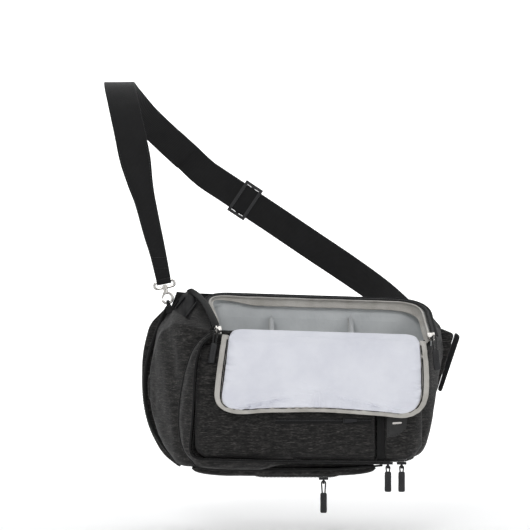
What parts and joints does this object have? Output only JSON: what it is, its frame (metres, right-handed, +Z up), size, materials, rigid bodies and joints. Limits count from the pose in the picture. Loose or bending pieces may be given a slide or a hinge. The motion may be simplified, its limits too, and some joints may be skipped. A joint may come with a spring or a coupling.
{
  "type": "sling camera bag",
  "caption": "Soft camera sling bag with its lid hanging open, padded compartment with dividers, zipped front and end pockets, and a shoulder strap on a swivel snap hook.",
  "frame": {"origin": "the inner face of the strap where it rests on the wearer's shoulder, at its highest point", "axes": "+X along the bag towards its right end as seen from the front, +Y towards the wearer, +Z up; the bag is as worn, its lid hanging open"},
  "size_m": [0.4409, 0.3594, 0.5238],
  "materials": {
    "heather_fabric": "charcoal melange woven polyester, matte, with fine lighter streaks along the bag",
    "black_webbing": "ribbed nylon webbing with a faint sheen",
    "black_binding": "woven binding tape and piping, matte",
    "nylon_patch": "smooth dark nylon with soft creases",
    "lining": "pale cool grey brushed lining, padded",
    "light_band": "light warm grey binding with a stitch line",
    "mesh_pad": "spacer mesh, matte",
    "zip_tape": "woven zip tape with a moulded coil",
    "slider_metal": "bright nickel plating with fine wear",
    "black_metal": "black coated metal, satin",
    "cord": "round braided cord",
    "grip": "moulded soft plastic, satin",
    "patch_rubber": "thin textured rubber, satin",
    "buckle_plastic": "moulded acetal, satin"
  },
  "bodies": {
    "bag": {"main_shell": "heather_fabric", "shell_liner": "lining", "rim_binding": "light_band", "body_zip_tape": "zip_tape", "back_panel": "black_binding", "back_pad": "mesh_pad", "left_wing": "heather_fabric", "left_wing_binding": "black_binding", "right_wing": "heather_fabric", "right_wing_binding": "black_binding", "corner_patch": "nylon_patch", "hook_loop_webbing": "black_webbing", "front_pocket": "heather_fabric", "pocket_flap": "heather_fabric", "pocket_piping_front": "black_binding", "pocket_piping_rear": "black_binding", "pocket_zip": "zip_tape", "end_pocket": "heather_fabric", "end_pocket_patch": "patch_rubber", "patch_bar": "slider_metal", "lower_zip": "zip_tape", "base_pocket": "heather_fabric", "base_zip": "zip_tape", "strap_front": "black_webbing", "strap_back": "black_webbing", "strap_tail": "black_webbing", "strap_hook_fold": "black_webbing", "swivel_eye": "slider_metal"},
    "lid": {"lid_panel": "heather_fabric", "lid_lining": "lining", "lid_band": "light_band", "lid_zip_tape": "zip_tape", "lid_hinge_strip": "heather_fabric"},
    "left_slider": {"left_slider": "slider_metal"},
    "left_pull": {"left_pull_cord": "cord", "left_pull_grip": "grip"},
    "right_slider": {"right_slider": "slider_metal"},
    "right_pull": {"right_pull_cord": "cord", "right_pull_grip": "grip"},
    "pocket_slider": {"pocket_slider": "black_metal"},
    "pocket_tab": {"pocket_slider_tab": "grip"},
    "lower_slider_left": {"lower_slider_left": "black_metal"},
    "lower_left_pull": {"lower_left_cord": "cord", "lower_left_grip": "grip"},
    "lower_slider_right": {"lower_slider_right": "black_metal"},
    "lower_right_pull": {"lower_right_cord": "cord", "lower_right_grip": "grip"},
    "base_slider": {"base_slider": "black_metal"},
    "base_pull": {"base_pull_cord": "cord", "base_pull_grip": "grip"},
    "snap_hook": {"snap_hook": "slider_metal", "gate_pin": "slider_metal"},
    "hook_gate": {"hook_gate": "slider_metal"},
    "strap_adjuster": {"strap_adjuster": "buckle_plastic"},
    "divider_left": {"divider_left": "lining"},
    "divider_right": {"divider_right": "lining"}
  },
  "joints": [
    {"name": "lid_hinge", "type": "hinge", "parent": "bag", "child": "lid", "pos_m": [0.254, -0.21, -0.314], "axis": [-0.9995, 0, 0.0314], "range_deg": [0, 233]},
    {"name": "left_zip_run", "type": "slide", "parent": "bag", "child": "left_slider", "axis": [-0.0796, 0.9096, 0.4077], "range_m": [0, 0.054]},
    {"name": "left_pull_swing", "type": "hinge", "parent": "left_slider", "child": "left_pull", "pos_m": [0.12718, -0.21437, -0.30703], "axis": [-1, 0, 0], "range_deg": [0, 160]},
    {"name": "right_zip_run", "type": "slide", "parent": "bag", "child": "right_slider", "axis": [-0.0491, 0.9118, 0.4077], "range_m": [0, 0.05]},
    {"name": "right_pull_swing", "type": "hinge", "parent": "right_slider", "child": "right_pull", "pos_m": [0.38144, -0.21407, -0.31489], "axis": [-1, 0, 0], "range_deg": [0, 160]},
    {"name": "pocket_zip_run", "type": "slide", "parent": "bag", "child": "pocket_slider", "axis": [1, 0, 0], "range_m": [-0.078, 0.018]},
    {"name": "pocket_tab_flip", "type": "hinge", "parent": "pocket_slider", "child": "pocket_tab", "pos_m": [0.2761, -0.226, -0.413], "axis": [0, 0, -1], "range_deg": [0, 60]},
    {"name": "lower_left_run", "type": "slide", "parent": "bag", "child": "lower_slider_left", "axis": [1, 0, 0], "range_m": [-0.09, 0.003]},
    {"name": "lower_left_swing", "type": "hinge", "parent": "lower_slider_left", "child": "lower_left_pull", "pos_m": [0.328, -0.2124, -0.4674], "axis": [1, 0, 0], "range_deg": [-50, 50]},
    {"name": "lower_right_run", "type": "slide", "parent": "bag", "child": "lower_slider_right", "axis": [1, 0, 0], "range_m": [-0.003, 0.007]},
    {"name": "lower_right_swing", "type": "hinge", "parent": "lower_slider_right", "child": "lower_right_pull", "pos_m": [0.344, -0.2124, -0.4674], "axis": [1, 0, 0], "range_deg": [-50, 50]},
    {"name": "base_zip_run", "type": "slide", "parent": "bag", "child": "base_slider", "axis": [1, 0, 0], "range_m": [-0.078, 0.014]},
    {"name": "base_pull_swing", "type": "hinge", "parent": "base_slider", "child": "base_pull", "pos_m": [0.253, -0.198, -0.4867], "axis": [1, 0, 0], "range_deg": [-50, 50]},
    {"name": "hook_swivel", "type": "hinge", "parent": "bag", "child": "snap_hook", "pos_m": [0.061, -0.116, -0.252], "axis": [-0.2011, 0, 0.9796], "range_deg": [-20, 20]},
    {"name": "gate_pivot", "type": "hinge", "parent": "snap_hook", "child": "hook_gate", "pos_m": [0.0616, -0.116, -0.26685], "axis": [0, -1, 0], "range_deg": [0, 22], "stiffness_Nm_per_rad": 0.004, "springref_deg": -11.46},
    {"name": "adjuster_run", "type": "slide", "parent": "bag", "child": "strap_adjuster", "axis": [0.8321, 0, -0.5547], "range_m": [-0.025, 0.015]},
    {"name": "divider_left_shift", "type": "slide", "parent": "bag", "child": "divider_left", "axis": [1, 0, 0], "range_m": [-0.035, 0.035]},
    {"name": "divider_right_shift", "type": "slide", "parent": "bag", "child": "divider_right", "axis": [1, 0, 0], "range_m": [-0.035, 0.028]}
  ],
  "couplings": [
    {"joint": "left_pull_swing", "follows": "left_zip_run", "rad_per_m": 51.714},
    {"joint": "right_pull_swing", "follows": "right_zip_run", "rad_per_m": 55.85}
  ]
}
